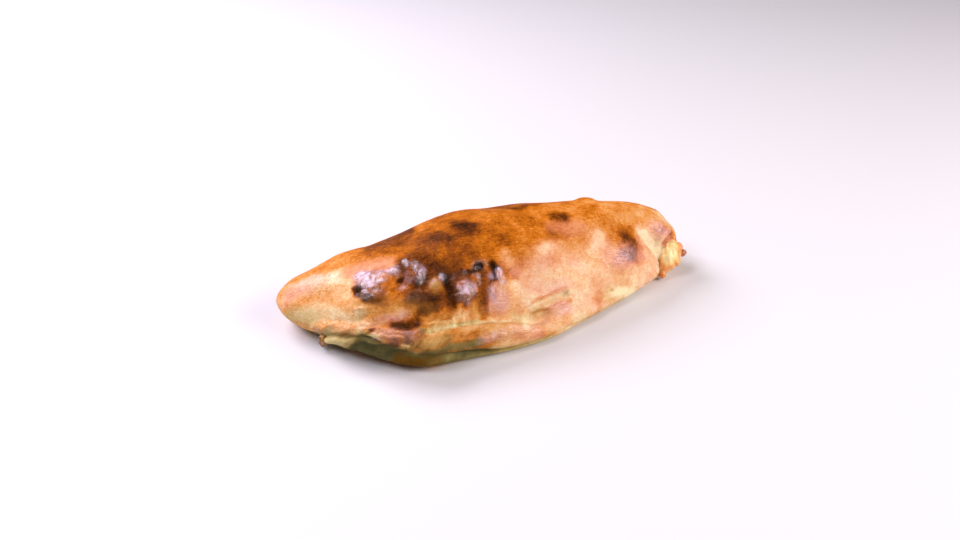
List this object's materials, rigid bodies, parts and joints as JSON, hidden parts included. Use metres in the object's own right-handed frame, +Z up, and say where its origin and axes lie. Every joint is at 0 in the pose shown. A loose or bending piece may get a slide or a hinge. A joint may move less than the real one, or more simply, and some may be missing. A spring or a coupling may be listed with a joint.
{
  "type": "calzone",
  "caption": "Baked calzone: a long half-moon of folded dough, domed on top, with a tucked and rolled seam along one side, blistered skin and cheese run out of the seam.",
  "frame": {"origin": "middle of the bounding box on the surface that the calzone rests on", "axes": "+X along the length, towards the end where the cheese has run out; the tucked seam faces -Y; +Z up"},
  "size_m": [0.2844, 0.1248, 0.0671],
  "materials": {
    "baked_dough": null,
    "melted_cheese": null,
    "browned_cheese": null
  },
  "bodies": {
    "root": {"crust": "baked_dough", "cheese_ooze": "melted_cheese", "cheese_drip": "browned_cheese"}
  },
  "joints": []
}
